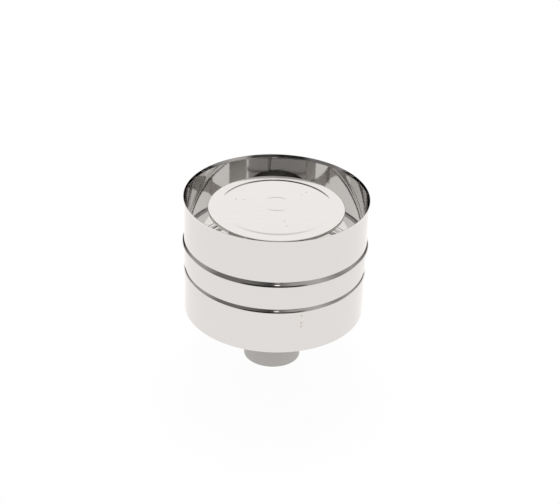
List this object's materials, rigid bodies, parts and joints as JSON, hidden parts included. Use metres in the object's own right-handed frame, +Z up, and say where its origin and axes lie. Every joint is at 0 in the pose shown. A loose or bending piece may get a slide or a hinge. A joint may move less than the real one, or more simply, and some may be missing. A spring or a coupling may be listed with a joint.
{
  "type": "chimney deflector",
  "caption": "Round flue cowl: a spigot pipe carries a wide shell open above and below, with a shallow cap sunk under its rim to keep rain and wind out.",
  "frame": {"origin": "centre of the spigot's lower end, where the part stands", "axes": "+Z up along the flue; the first support is 19.7 degrees from -Y towards +X"},
  "size_m": [0.3236, 0.3236, 0.318],
  "materials": {
    "shell_steel": "mirror-polished stainless steel sheet",
    "cap_steel": "polished stainless steel sheet",
    "pipe_steel": "satin stainless steel pipe",
    "strap_steel": "mill-finish stainless steel strip",
    "rivet_steel": "plain stainless steel",
    "weld_steel": "spot weld, matt and slightly darkened"
  },
  "bodies": {
    "root": {"inlet_pipe": "pipe_steel", "lower_shell": "shell_steel", "upper_shell": "shell_steel", "cap_disc": "cap_steel", "shell_bracket_front": "strap_steel", "shell_bracket_right": "strap_steel", "shell_bracket_left": "strap_steel", "cap_stay_front": "strap_steel", "cap_stay_right": "strap_steel", "cap_stay_left": "strap_steel", "pipe_rivets_front": "rivet_steel", "pipe_rivets_right": "rivet_steel", "pipe_rivets_left": "rivet_steel", "stay_rivets_front": "rivet_steel", "stay_rivets_right": "rivet_steel", "stay_rivets_left": "rivet_steel", "shell_welds_front": "weld_steel", "shell_welds_right": "weld_steel", "shell_welds_left": "weld_steel", "cap_welds_front": "weld_steel", "cap_welds_right": "weld_steel", "cap_welds_left": "weld_steel"}
  },
  "joints": []
}
